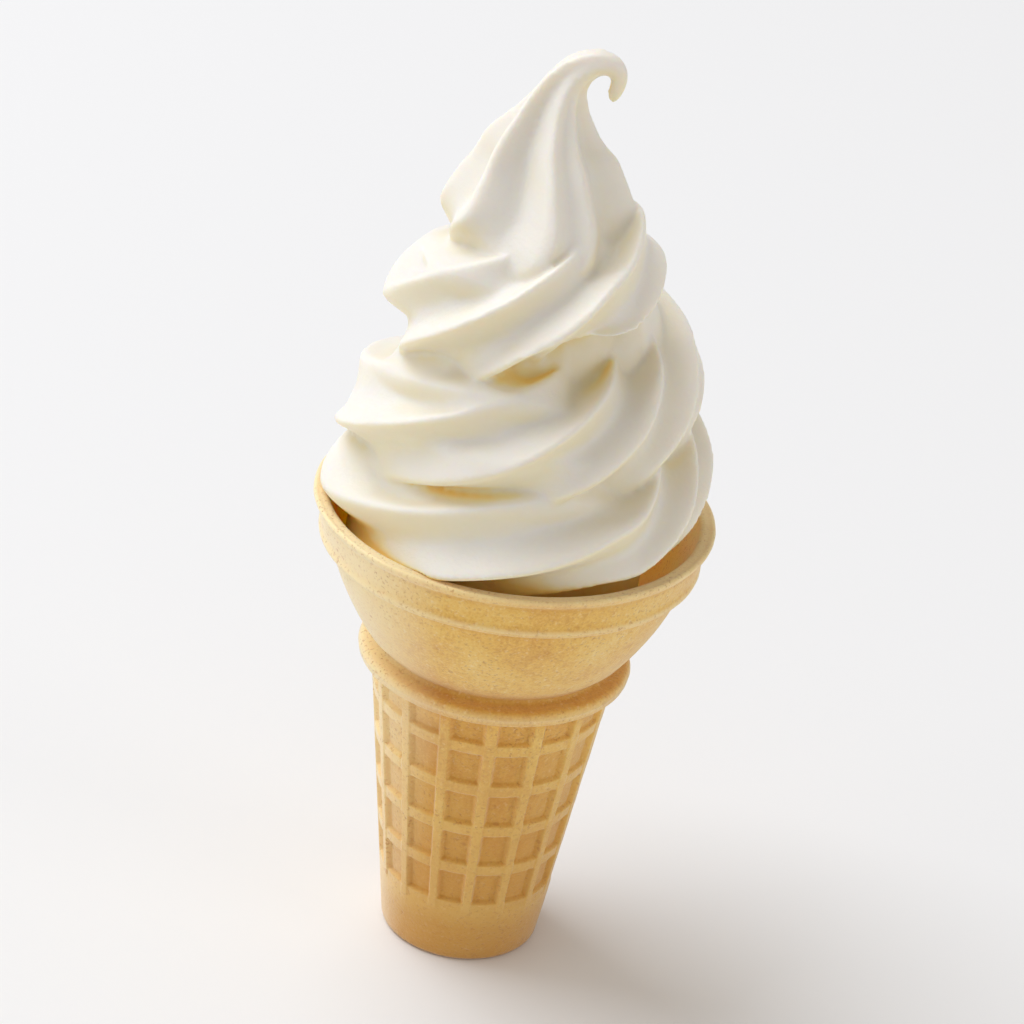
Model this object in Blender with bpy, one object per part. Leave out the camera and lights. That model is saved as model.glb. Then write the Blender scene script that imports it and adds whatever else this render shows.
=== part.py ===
"""A soft serve swirl in a flat-based wafer cup, built from its driving sizes in metres, +Z up.

Origin: the centre of the flat base, on the surface that the cone stands on.
"""
import math

import bmesh
import bpy
from mathutils import Vector

MM = 0.001

# Wafer cup, outside
BASE_RADIUS = 15.5 * MM
WALL_TAPER = 0.137            # radius gained for each unit of height
BASE_EDGE = 0.7 * MM
COLLAR_HEIGHT = 60.3 * MM     # where the collar's underside meets the ribbed wall
COLLAR_RADIUS = 26.2 * MM
RIM_RADIUS = 38.0 * MM
CUP_HEIGHT = 94.3 * MM
LIP_WIDTH = 3.0 * MM

# Waffle pattern
RIB_COUNT = 16
RIB_WIDTH = 2.3 * MM
RIB_SLOPE = 0.6 * MM          # run of each sloping side between rib top and cell floor
CELL_DEPTH = 1.1 * MM
CELL_ROWS = 5
FIRST_CELL = 14.3 * MM        # lower edge of the lowest row of cells
ROW_PITCH = 9.88 * MM
CELL_HEIGHT = 7.9 * MM
LAST_CELL_HEIGHT = 6.1 * MM   # the top row runs into the collar
FIRST_RIB_AZIMUTH = -86.0     # degrees

# Wafer cup, inside
WALL = 2.6 * MM
FLOOR = 3.5 * MM
COLUMNS_PER_CELL = 4
COLUMNS = RIB_COUNT * COLUMNS_PER_CELL

# Soft serve
CLEARANCE = 0.3 * MM          # between the soft serve and the wafer
ROPE_HALF_WIDTH = 15.2 * MM
ROPE_HALF_HEIGHT = 14.0 * MM
ROPE_POINTS = 6               # points of the star nozzle
GROOVE = 0.22                 # groove depth as a share of the rope's half width
ROPE_STEP = 5.0               # degrees round the winding between two sections of the rope
AXIS_MARGIN = 1.0 * MM        # how near the rope's inner side comes to the winding's axis
FILL_LEVEL = CUP_HEIGHT - 10.0 * MM
VOXEL = 0.6 * MM              # grain at which the rope, its peak and its core are fused
SWIRL_FACES = 4300            # triangles that the fused swirl is reduced to
WELD = 0.01 * MM              # points of a Boolean's result that are closer than this are one

# The rope's middle line while it winds up counter-clockwise: azimuth from +X in degrees, radius and
# height above the rim in millimetres, the turn of its ridges in degrees, and its thickness as a share
WINDING = [
    (90, 21.0, -11.0, -340, 1.0),
    (180, 21.5, -2.5, -300, 1.0),
    (225, 22.0, 2.0, -267, 1.0),
    (270, 23.5, 6.0, -240, 1.0),
    (315, 22.5, 7.5, -204, 1.0),
    (360, 21.0, 11.5, -117, 1.0),
    (450, 20.0, 13.5, -6, 1.0),
    (540, 21.0, 16.0, 46, 1.0),
    (585, 20.5, 21.5, 74, 1.0),
    (630, 20.0, 24.0, 125, 1.0),
    (675, 18.0, 25.0, 204, 1.0),
    (720, 17.5, 29.5, 284, 1.0),
    (810, 15.5, 34.5, 342, 1.0),
    (900, 14.0, 39.0, 361, 1.0),
    (945, 16.5, 42.0, 412, 1.0),
    (990, 15.0, 44.5, 477, 1.0),
    (1035, 11.0, 46.5, 504, 1.0),
    (1080, 8.0, 47.0, 516, 0.95),
    (1170, 2.0, 40.0, 578, 0.5),
]

# The peak's middle line from its foot to its tip: a count of the rows, then sideways lean, forward
# lean, height above the rim and radius in millimetres
PEAK = [
    (0, -1.5, 1.0, 44.0, 12.0),
    (1, -2.0, 2.0, 49.0, 17.0),
    (2, -2.3, 2.0, 55.0, 18.8),
    (3, -2.5, 1.5, 61.0, 17.8),
    (4, -2.8, 0.5, 67.0, 15.3),
    (5, -3.2, 0.0, 72.0, 12.4),
    (6, -3.1, 0.0, 76.5, 9.4),
    (7, -2.6, 0.0, 80.5, 7.0),
    (8, -1.4, 0.0, 84.2, 5.2),
    (9, 0.8, 0.0, 87.2, 3.9),
    (10, 3.8, 0.0, 88.8, 2.9),
    (11, 6.5, 0.0, 88.4, 2.2),
    (12, 8.2, 0.0, 86.2, 1.6),
    (13, 7.8, 0.0, 82.6, 1.3),
]
PEAK_RIDGES = [-104.0, -52.0, 8.0, 34.0, 88.0, 145.0, 202.0]   # degrees from -Y
PEAK_STEPS = 4                # sections between two rows of PEAK


def smooth(rows, at):
    """The smooth curve through rows, whose first column says where each lies, at one place."""
    last = len(rows) - 1
    first = 0
    while first < last - 1 and at > rows[first + 1][0]:
        first += 1
    start, end = rows[first], rows[first + 1]
    before, after = rows[max(first - 1, 0)], rows[min(first + 2, last)]
    span = end[0] - start[0]
    share = (at - start[0]) / span
    result = []
    for a, b, c, d in zip(before[1:], start[1:], end[1:], after[1:]):
        rise = c - b
        leave = span * (c - a) / (end[0] - before[0])
        arrive = span * (d - b) / (after[0] - start[0])
        bend = 3 * rise - 2 * leave - arrive + share * (leave + arrive - 2 * rise)
        result.append(b + share * (leave + share * bend))
    return result


def material(name, colour, roughness):
    """A Principled material of one colour."""
    made = bpy.data.materials.new(name)
    made.use_nodes = True
    shader = made.node_tree.nodes["Principled BSDF"]
    shader.inputs["Base Color"].default_value = (*colour, 1.0)
    shader.inputs["Roughness"].default_value = roughness
    return made


def skin(name, rings, endless=False):
    """A closed mesh object over rings of equally many points.

    Its last ring joins its first where it is endless, and a fan caps each of its ends where it isn't.
    """
    mesh = bpy.data.meshes.new(name)
    shape = bmesh.new()
    loops = [[shape.verts.new(point) for point in ring] for ring in rings]
    count = len(loops[0])
    onward = loops[1:] + (loops[:1] if endless else [])
    for low, high in zip(loops, onward):
        for i in range(count):
            j = (i + 1) % count
            shape.faces.new((low[i], low[j], high[j], high[i]))
    for loop in [] if endless else [loops[0], loops[-1]]:
        middle = sum((vert.co for vert in loop), Vector()) / count
        pole = shape.verts.new(middle)
        for i in range(count):
            shape.faces.new((loop[i], loop[(i + 1) % count], pole))
    bmesh.ops.recalc_face_normals(shape, faces=shape.faces)
    shape.to_mesh(mesh)
    shape.free()
    made = bpy.data.objects.new(name, mesh)
    bpy.context.collection.objects.link(made)
    return made


def circle(radius, height, count=COLUMNS, turn=FIRST_RIB_AZIMUTH):
    """One level ring of points round the cup's axis."""
    points = []
    for i in range(count):
        azimuth = math.radians(turn + 360.0 * i / count)
        points.append(Vector((radius * math.cos(azimuth), radius * math.sin(azimuth), height)))
    return points


def wallRadius(height):
    """Outer radius of the tapering lower wall, at the top of its ribs."""
    return BASE_RADIUS + WALL_TAPER * height


def waffleRing(height, cut):
    """One ring of the ribbed wall; where cut is true, it lies at the depth of the cell floors."""
    radius = wallRadius(height)
    pitch = 360.0 / RIB_COUNT
    ribHalf = math.degrees(0.5 * RIB_WIDTH / radius)
    slope = math.degrees(RIB_SLOPE / radius)
    columns = [
        (-ribHalf, False),
        (ribHalf, False),
        (ribHalf + slope, cut),
        (pitch - ribHalf - slope, cut),
    ]
    points = []
    for rib in range(RIB_COUNT):
        for offset, sunk in columns:
            azimuth = math.radians(FIRST_RIB_AZIMUTH + rib * pitch + offset)
            reach = radius - CELL_DEPTH if sunk else radius
            points.append(Vector((reach * math.cos(azimuth), reach * math.sin(azimuth), height)))
    return points


def waffleRings():
    """The rings of every row of cells, from the lowest up."""
    rings = []
    for row in range(CELL_ROWS):
        low = FIRST_CELL + row * ROW_PITCH
        high = low + (CELL_HEIGHT if row < CELL_ROWS - 1 else LAST_CELL_HEIGHT)
        rings.append(waffleRing(low, False))
        rings.append(waffleRing(low + RIB_SLOPE, True))
        rings.append(waffleRing(high - RIB_SLOPE, True))
        rings.append(waffleRing(high, False))
    return rings


def upperProfile():
    """Radius and height of the collar, the bowl and the rim, from the collar's underside up."""
    rim = RIM_RADIUS
    top = CUP_HEIGHT
    return [
        (wallRadius(COLLAR_HEIGHT), COLLAR_HEIGHT),
        (COLLAR_RADIUS - 0.6 * MM, COLLAR_HEIGHT + 0.2 * MM),
        (COLLAR_RADIUS, COLLAR_HEIGHT + 1.2 * MM),
        (COLLAR_RADIUS - 0.5 * MM, COLLAR_HEIGHT + 2.8 * MM),
        (22.4 * MM, COLLAR_HEIGHT + 3.4 * MM),
        (25.4 * MM, COLLAR_HEIGHT + 6.7 * MM),
        (29.8 * MM, COLLAR_HEIGHT + 13.7 * MM),
        (32.6 * MM, COLLAR_HEIGHT + 19.7 * MM),
        (34.2 * MM, top - 8.8 * MM),
        (35.3 * MM, top - 8.1 * MM),
        (rim, top - 0.9 * MM),
        (rim - 0.6 * MM, top),
        (rim - LIP_WIDTH + 0.4 * MM, top),
        (rim - LIP_WIDTH, top - 0.4 * MM),
    ]


def innerProfile(gap=0.0):
    """Radius and height of the cup's inside from the lip down to its floor, drawn in by gap."""
    top = CUP_HEIGHT
    return [
        (RIM_RADIUS - LIP_WIDTH - gap, top - 0.4 * MM),
        (32.4 * MM - gap, top - 8.0 * MM),
        (29.9 * MM - gap, top - 14.6 * MM),
        (22.4 * MM - gap, COLLAR_HEIGHT + 6.2 * MM),
        (wallRadius(COLLAR_HEIGHT) - WALL - gap, COLLAR_HEIGHT),
        (wallRadius(FLOOR) - WALL - gap, FLOOR + gap),
    ]


def waferCone():
    """The hollow wafer cup: waffled wall, collar, bowl and flared rim."""
    rings = [
        circle(BASE_RADIUS - 0.6 * MM, 0.0),
        circle(wallRadius(BASE_EDGE), BASE_EDGE),
    ]
    rings += waffleRings()
    rings += [circle(radius, height) for radius, height in upperProfile()]
    rings += [circle(radius, height) for radius, height in innerProfile()]
    cup = skin("wafer_cone", rings)
    cup.data.materials.append(material("wafer", (0.72, 0.44, 0.17), 0.75))
    cup.data.set_sharp_from_angle(angle=math.radians(30))
    return cup


def starSection(ridges, groove, perRidge):
    """Angle and radius factor of each point of a star section with ridges at the given angles."""
    points = []
    count = len(ridges)
    for i, ridge in enumerate(ridges):
        gap = (ridges[(i + 1) % count] - ridge) % 360.0
        for step in range(perRidge):
            share = step / perRidge
            chord = math.cos(math.radians(gap / 2)) / math.cos(math.radians(gap * (share - 0.5)))
            sink = 1.0 - groove * math.sin(math.pi * share) * min(gap / 60.0, 1.2)
            points.append((ridge + gap * share, chord * sink))
    return points


def rope():
    """The star-ridged rope, wound up from inside the cup to the foot of the peak."""
    rings = []
    start, end = WINDING[0][0], WINDING[-1][0]
    for i in range(round((end - start) / ROPE_STEP) + 1):
        at = start + i * ROPE_STEP
        radius, height, turn, thick = smooth(WINDING, at)
        azimuth = math.radians(at)
        outward = Vector((math.cos(azimuth), math.sin(azimuth), 0.0))
        middle = outward * radius * MM + Vector((0.0, 0.0, CUP_HEIGHT + height * MM))
        inward = min(ROPE_HALF_WIDTH * thick, radius * MM - AXIS_MARGIN)
        ridges = [turn + 360.0 * k / ROPE_POINTS for k in range(ROPE_POINTS)]
        ring = []
        for angle, factor in starSection(ridges, GROOVE, 6):
            across = math.cos(math.radians(angle))
            out = factor * across * (ROPE_HALF_WIDTH * thick if across > 0 else inward)
            up = factor * thick * math.sin(math.radians(angle)) * ROPE_HALF_HEIGHT
            ring.append(middle + outward * out + Vector((0.0, 0.0, up)))
        rings.append(ring)
    return skin("rope", rings)


def peak():
    """The last of the rope, drawn up to a point that hooks over to one side."""
    rings = []
    for i in range((len(PEAK) - 1) * PEAK_STEPS + 1):
        at = i / PEAK_STEPS
        lean, forward, height, radius = smooth(PEAK, at)
        ahead = smooth(PEAK, at + 0.01)
        behind = smooth(PEAK, at - 0.01)
        along = Vector((ahead[0] - behind[0], 0.0, ahead[2] - behind[2])).normalized()
        front = Vector((0.0, -1.0, 0.0))
        right = along.cross(front)
        groove = GROOVE * min(radius / 6.0, 1.0)
        middle = Vector((lean * MM, -forward * MM, CUP_HEIGHT + height * MM))
        ring = []
        for angle, factor in starSection(PEAK_RIDGES, groove, 6):
            reach = radius * MM * factor
            across = right * math.sin(math.radians(angle)) + front * math.cos(math.radians(angle))
            ring.append(middle + across * reach)
        rings.append(ring)
    return skin("peak", rings)


def core():
    """What fills the cup up to its bowl and backs the winding, so that no void is left inside."""
    profile = [
        (30.0 * MM, FLOOR + CLEARANCE),
        (34.0 * MM, FILL_LEVEL),
        (20.0 * MM, FILL_LEVEL + 4.0 * MM),
        (18.0 * MM, CUP_HEIGHT + 22.0 * MM),
        (12.0 * MM, CUP_HEIGHT + 44.0 * MM),
        (9.0 * MM, CUP_HEIGHT + 55.0 * MM),
    ]
    return skin("core", [circle(radius, height, 32) for radius, height in profile])


def cupSpace():
    """Everything that the soft serve must leave to the wafer: the cup grown by the clearance."""
    beyond = RIM_RADIUS + 20.0 * MM
    below = -5.0 * MM
    lip = CUP_HEIGHT + CLEARANCE
    profile = [(RIM_RADIUS - LIP_WIDTH - CLEARANCE, lip)]
    profile += innerProfile(CLEARANCE)[1:]
    profile += [(wallRadius(FLOOR) - WALL - CLEARANCE, below), (beyond, below), (beyond, lip)]
    return skin("cup_space", [circle(radius, height) for radius, height in profile], endless=True)


def settle(target):
    """Turns target's modifiers into its mesh for good."""
    evaluated = target.evaluated_get(bpy.context.evaluated_depsgraph_get())
    result = bpy.data.meshes.new_from_object(evaluated)
    target.modifiers.clear()
    target.data = result


def cut(target, other):
    """Cuts other out of target for good and removes other."""
    modifier = target.modifiers.new("cut", "BOOLEAN")
    modifier.operation = "DIFFERENCE"
    modifier.solver = "EXACT"
    modifier.object = other
    settle(target)
    bpy.data.objects.remove(other)
    shape = bmesh.new()
    shape.from_mesh(target.data)
    bmesh.ops.remove_doubles(shape, verts=shape.verts, dist=WELD)
    bmesh.ops.dissolve_degenerate(shape, edges=shape.edges, dist=WELD)
    bmesh.ops.triangulate(shape, faces=shape.faces)
    shape.to_mesh(target.data)
    shape.free()


def keepOuterShell(target):
    """Removes every loose shell but the largest, such as a void shut in between two turns."""
    shape = bmesh.new()
    shape.from_mesh(target.data)
    unseen = set(shape.verts)
    shells = []
    while unseen:
        shell = [unseen.pop()]
        for vert in shell:
            for edge in vert.link_edges:
                other = edge.other_vert(vert)
                if other in unseen:
                    unseen.remove(other)
                    shell.append(other)
        shells.append(shell)
    shells.sort(key=len)
    for shell in shells[:-1]:
        bmesh.ops.delete(shape, geom=shell, context="VERTS")
    shape.to_mesh(target.data)
    shape.free()


def fuse(pieces):
    """One closed skin round overlapping pieces, reduced to few faces."""
    whole = pieces[0]
    shape = bmesh.new()
    for piece in pieces:
        shape.from_mesh(piece.data)
    shape.to_mesh(whole.data)
    shape.free()
    for piece in pieces[1:]:
        bpy.data.objects.remove(piece)
    grain = whole.modifiers.new("fuse", "REMESH")
    grain.mode = "VOXEL"
    grain.voxel_size = VOXEL
    settle(whole)
    keepOuterShell(whole)
    faces = sum(len(face.vertices) - 2 for face in whole.data.polygons)
    fewer = whole.modifiers.new("reduce", "DECIMATE")
    fewer.ratio = SWIRL_FACES / faces
    settle(whole)
    return whole


def softServe():
    """The soft serve: one solid of the winding, its peak and what fills the cup."""
    swirl = fuse([core(), rope(), peak()])
    cut(swirl, cupSpace())
    keepOuterShell(swirl)
    swirl.name = "soft_serve"
    swirl.data.materials.clear()
    swirl.data.materials.append(material("soft_serve", (0.9, 0.87, 0.78), 0.5))
    swirl.data.set_sharp_from_angle(angle=math.radians(40))
    return swirl


for old in list(bpy.data.objects):
    bpy.data.objects.remove(old)
waferCone()
softServe()
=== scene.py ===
import math
from functools import partial

import bmesh
import bpy
import numpy as np
from mathutils import Matrix, Vector, noise
from mathutils.bvhtree import BVHTree


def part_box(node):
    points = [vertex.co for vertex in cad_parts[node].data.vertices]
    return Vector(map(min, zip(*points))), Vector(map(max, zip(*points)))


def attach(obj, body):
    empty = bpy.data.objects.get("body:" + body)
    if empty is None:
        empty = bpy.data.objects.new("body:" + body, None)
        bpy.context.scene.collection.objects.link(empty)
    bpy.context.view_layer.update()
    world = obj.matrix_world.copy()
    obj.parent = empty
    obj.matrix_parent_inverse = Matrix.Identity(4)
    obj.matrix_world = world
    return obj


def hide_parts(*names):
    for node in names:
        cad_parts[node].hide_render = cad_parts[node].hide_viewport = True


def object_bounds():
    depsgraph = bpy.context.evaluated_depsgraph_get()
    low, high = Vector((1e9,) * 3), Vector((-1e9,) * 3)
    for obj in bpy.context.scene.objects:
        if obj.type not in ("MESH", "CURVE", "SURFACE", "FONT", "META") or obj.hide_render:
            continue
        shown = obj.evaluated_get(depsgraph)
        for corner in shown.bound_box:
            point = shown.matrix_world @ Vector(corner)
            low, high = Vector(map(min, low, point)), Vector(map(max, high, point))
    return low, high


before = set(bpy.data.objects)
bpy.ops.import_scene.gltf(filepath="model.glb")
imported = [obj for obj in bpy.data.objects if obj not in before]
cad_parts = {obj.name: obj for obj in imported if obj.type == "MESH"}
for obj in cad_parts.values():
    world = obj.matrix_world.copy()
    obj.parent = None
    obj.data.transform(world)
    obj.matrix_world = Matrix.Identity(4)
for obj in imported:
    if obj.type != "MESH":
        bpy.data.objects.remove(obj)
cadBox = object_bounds()
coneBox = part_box("wafer_cone")
mm = 0.001
rimHeight = coneBox[1].z
rimRadius = (coneBox[1].x - coneBox[0].x) / 2

# small helpers for meshes and node trees


def newObject(name, mesh):
    made = bpy.data.objects.new(name, mesh)
    bpy.context.scene.collection.objects.link(made)
    return made


def meshFrom(name, verts, faces):
    mesh = bpy.data.meshes.new(name)
    mesh.from_pydata([tuple(vert) for vert in verts], [], faces)
    mesh.update()
    return mesh


def bake(target):
    evaluated = target.evaluated_get(bpy.context.evaluated_depsgraph_get())
    result = bpy.data.meshes.new_from_object(evaluated)
    target.modifiers.clear()
    target.data = result
    return target


def ringFaces(rings, count, closed=False):
    faces = []
    for row in range(rings if closed else rings - 1):
        low, high = row * count, ((row + 1) % rings) * count
        for i in range(count):
            j = (i + 1) % count
            faces.append((low + i, low + j, high + j, high + i))
    return faces


def capEnds(verts, faces, rings, count):
    for first, flip in ((0, False), ((rings - 1) * count, True)):
        pole = len(verts)
        verts.append(sum((Vector(verts[first + i]) for i in range(count)), Vector()) / count)
        for i in range(count):
            a, b = first + i, first + (i + 1) % count
            faces.append((a, b, pole) if flip else (b, a, pole))


def newTree(name, sockets):
    tree = bpy.data.node_groups.new(name, "GeometryNodeTree")
    tree.interface.new_socket("Geometry", in_out="INPUT", socket_type="NodeSocketGeometry")
    tree.interface.new_socket("Geometry", in_out="OUTPUT", socket_type="NodeSocketGeometry")
    for label, kind in sockets.items():
        tree.interface.new_socket(label, in_out="INPUT", socket_type="NodeSocket" + kind)
    given = tree.nodes.new("NodeGroupInput").outputs
    return tree, given, tree.nodes.new("NodeGroupOutput").inputs[0]


def wire(tree, value, socket):
    if isinstance(value, bpy.types.NodeSocket):
        tree.links.new(value, socket)
    elif value is not None:
        socket.default_value = value


def node(tree, kind, inputs=(), **settings):
    made = tree.nodes.new(kind)
    for key, value in settings.items():
        setattr(made, key, value)
    pairs = inputs.items() if isinstance(inputs, dict) else enumerate(inputs)
    for key, value in pairs:
        wire(tree, value, made.inputs[key])
    return made


def calc(tree, operation, *values):
    return node(tree, "ShaderNodeMath", values, operation=operation).outputs[0]


def sums(tree):
    # short names for a tree's maths and products
    return partial(calc, tree), partial(calc, tree, "MULTIPLY")


def calcVector(tree, operation, *values):
    return node(tree, "ShaderNodeVectorMath", values, operation=operation).outputs[0]


def rescale(tree, value, low, high, newLow=0.0, newHigh=1.0):
    return node(tree, "ShaderNodeMapRange", (value, low, high, newLow, newHigh)).outputs[0]


def window(tree, value, span):
    # 1 between the two middle values of a span, and 0 outside it
    starts, full, fades, ends = span
    return calc(tree, "MULTIPLY", rescale(tree, value, starts, full), rescale(tree, value, ends, fades))


def applyTree(target, tree, values):
    modifier = target.modifiers.new(tree.name, "NODES")
    modifier.node_group = tree
    for item in tree.interface.items_tree:
        if item.item_type == "SOCKET" and item.in_out == "INPUT" and item.name in values:
            modifier[item.identifier] = values[item.name]
    return bake(target)


def smoothRows(rows, at):
    # the smooth curve through rows, whose first column says where each lies
    last = len(rows) - 1
    first = 0
    while first < last - 1 and at > rows[first + 1][0]:
        first += 1
    start, end = rows[first], rows[first + 1]
    before, after = rows[max(first - 1, 0)], rows[min(first + 2, last)]
    span = end[0] - start[0]
    share = (at - start[0]) / span
    result = []
    for a, b, c, d in zip(before[1:], start[1:], end[1:], after[1:]):
        rise = c - b
        leave = span * (c - a) / (end[0] - before[0])
        arrive = span * (d - b) / (after[0] - start[0])
        bend = 3 * rise - 2 * leave - arrive + share * (leave + arrive - 2 * rise)
        result.append(b + share * (leave + share * bend))
    return result


# finishes


def newMaterial(name):
    material = bpy.data.materials.new(name)
    material.use_nodes = True
    tree = material.node_tree
    return material, tree, tree.nodes["Principled BSDF"]


def ramp(tree, value, stops):
    made = node(tree, "ShaderNodeValToRGB", (value,))
    elements = made.color_ramp.elements
    while len(elements) < len(stops):
        elements.new(0.5)
    for element, (place, colour) in zip(elements, stops):
        element.position = place
        element.color = (*colour, 1.0)
    return made.outputs[0]


def blendColour(tree, share, a, b):
    made = node(tree, "ShaderNodeMix", data_type="RGBA")
    wire(tree, share, made.inputs[0])
    for value, socket in ((a, made.inputs[6]), (b, made.inputs[7])):
        wire(tree, (*value, 1.0) if isinstance(value, tuple) else value, socket)
    return made.outputs[2]


def cloud(tree, place, kind):
    scale, detail, roughness = kind
    inputs = {"Vector": place, "Scale": scale, "Detail": detail, "Roughness": roughness}
    return node(tree, "ShaderNodeTexNoise", inputs).outputs["Fac"]


def attribute(tree, name):
    return node(tree, "ShaderNodeAttribute", attribute_name=name).outputs["Fac"]


def setShader(shader, values):
    for name, value in values.items():
        shader.inputs[name].default_value = value


wafer = {
    "pale": (0.88, 0.63, 0.205),
    "tan": (0.83, 0.51, 0.097),
    # also laid into the cells and creases as painted shade
    "toastedAndShade": (0.66, 0.31, 0.040),
    "foot": (0.555, 0.252, 0.020),
    "fleck": (0.50, 0.20, 0.035),
    "flour": (0.93, 0.78, 0.50),
    # painted highlight and sheen colour, for the raised bead, lip and collar edge and the lit side
    "edge": (0.95, 0.78, 0.46),
    # painted glow: the inside wall is coloured bright amber, standing in for light let through and bounced
    # in the cup
    "inside": (1.0, 0.72, 0.30),
    # clouds: scale per metre, detail, roughness
    "broadCloud": (24, 2, 0.5),
    "patchCloud": (60, 4, 0.6),
    "mottleCloud": (480, 5, 0.7),
    "grainCloud": (1900, 3, 0.6),
    "fleckCloud": (1500, 2, 0.6),
    "flourCloud": (1150, 3, 0.6),
    "spotCloud": (330, 1, 0.5),
    "cloudShares": (0.32, 0.28, 0.16, 0.24),  # of the base tone, broadest first
    "toneStops": (0.39, 0.50, 0.61),  # toasted, tan, pale
    # how strongly each colour is laid over the base tone
    "footShare": 0.9,
    "sunkShadeShares": (0.4, 0.1),  # painted shade in cells and creases: on the far side and on the side with the painted sheen
    "ribHighlightShare": 0.32,
    "litSideSheenShare": 0.9,
    "raisedHighlightShare": 0.6,
    "insideGlowShare": 0.85,
    "flourShare": 0.35,
    "fleckShare": 0.60,
    "spotShare": 0.5,
    "footTop": 60 * mm,       # height below which the colour turns darker towards the bottom
    "ribBand": (8 * mm, 13 * mm, 56 * mm, 59 * mm),
    "ribSunk": 0.9,           # how deep into a cell the ribs' painted highlight reaches
    "litSideSheen": (-4 * mm, -19 * mm),  # across, where the painted sheen of the lit side starts and is full
    "litSideSheenWander": 12 * mm,
    "flourBand": (30 * mm, 70 * mm, 0.3, 1.0),  # heights, and how floury the wafer is there
    "bump": 0.5,
    "bumpDepth": 0.4 * mm,
    "reliefShares": (0.5, 0.5, -0.35),  # mottle, grain and flecks in the bump
    # noise values between which flour, flecks and spots appear, and patches where flecks crowd
    "flourEdge": (0.58, 0.70),
    "fleckEdge": (0.57, 0.68),
    "spotEdge": (0.745, 0.775),
    "fleckPatches": (0.35, 0.62, 0.15, 1.0),
    "glow": (0.15, 1.0),      # light let through, outside and inside the cup
    "glowReach": (2.5 * mm, 10 * mm),
    "shader": {
        "Roughness": 0.60,
        "Specular IOR Level": 0.5,
        "Sheen Weight": 0.5,
        "Sheen Roughness": 0.5,
        "Sheen Tint": (1.0, 0.96, 0.92, 1.0),
        "Subsurface Radius": (1.0, 0.46, 0.20),
    },
}


def waferFinish():
    material, tree, shader = newMaterial("baked_wafer")
    maths, product = sums(tree)
    place = node(tree, "ShaderNodeTexCoord").outputs["Object"]
    across, _, height = node(tree, "ShaderNodeSeparateXYZ", (place,)).outputs
    # depth of cells and creases, raised edges and the inside, read for painted shade, painted highlights
    # and painted glow
    sunk, raised, inner = (attribute(tree, name) for name in ("sunk", "raised", "inner"))
    broad, patches, mottle, grain = (cloud(tree, place, wafer[name]) for name in (
        "broadCloud", "patchCloud", "mottleCloud", "grainCloud"))

    def layOver(below, share, colour):
        return blendColour(tree, share, below, wafer[colour])

    def weighed(shares, clouds):
        total = 0.0
        for share, layer in zip(shares, clouds):
            total = maths("ADD", product(layer, share), total)
        return total

    tone = weighed(wafer["cloudShares"], (broad, patches, mottle, grain))
    shades = (wafer["toastedAndShade"], wafer["tan"], wafer["pale"])
    colour = ramp(tree, tone, list(zip(wafer["toneStops"], shades)))
    colour = layOver(colour, rescale(tree, height, wafer["footTop"], 0.0, 0.0, wafer["footShare"]), "foot")
    # painted sheen: the side towards -X, which the lamps light, is coloured paler, and its cells take less
    # painted shade
    wander = maths("MULTIPLY_ADD", broad, wafer["litSideSheenWander"], across)
    litSideSheen = rescale(tree, wander, *wafer["litSideSheen"])
    sunkShade = rescale(tree, litSideSheen, 0.0, 1.0, *wafer["sunkShadeShares"])
    # painted shade: cells and creases darken with their depth
    colour = layOver(colour, product(sunk, sunkShade), "toastedAndShade")
    # painted highlight: the ribs are coloured paler than the cells
    ribHighlight = product(window(tree, height, wafer["ribBand"]), maths("SUBTRACT", wafer["ribSunk"], sunk))
    # flour dust, fine toasted flecks that crowd in the patches, and a few larger spots
    flour = rescale(tree, cloud(tree, place, wafer["flourCloud"]), *wafer["flourEdge"])
    flour = product(flour, rescale(tree, height, *wafer["flourBand"]))
    flecks = rescale(tree, cloud(tree, place, wafer["fleckCloud"]), *wafer["fleckEdge"])
    flecks = product(flecks, rescale(tree, patches, *wafer["fleckPatches"]))
    spots = rescale(tree, cloud(tree, place, wafer["spotCloud"]), *wafer["spotEdge"])
    # painted highlights on the ribs, bead, lip and collar edge, painted sheen on the lit side and painted
    # glow inside the cup; then flour, flecks and spots, which are the wafer's own
    layers = ((ribHighlight, "ribHighlightShare", "pale"), (litSideSheen, "litSideSheenShare", "edge"),
              (raised, "raisedHighlightShare", "edge"), (inner, "insideGlowShare", "inside"),
              (flour, "flourShare", "flour"), (flecks, "fleckShare", "fleck"),
              (spots, "spotShare", "fleck"))
    for mask, share, shade in layers:
        colour = layOver(colour, product(mask, wafer[share]), shade)
    wire(tree, colour, shader.inputs["Base Color"])
    setShader(shader, wafer["shader"])
    wire(tree, rescale(tree, inner, 0.0, 1.0, *wafer["glow"]), shader.inputs["Subsurface Weight"])
    wire(tree, rescale(tree, inner, 0.0, 1.0, *wafer["glowReach"]), shader.inputs["Subsurface Scale"])
    relief = weighed(wafer["reliefShares"], (mottle, grain, flecks))
    bump = node(tree, "ShaderNodeBump", {
        "Strength": wafer["bump"], "Distance": wafer["bumpDepth"], "Height": relief})
    wire(tree, bump.outputs[0], shader.inputs["Normal"])
    return material


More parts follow.
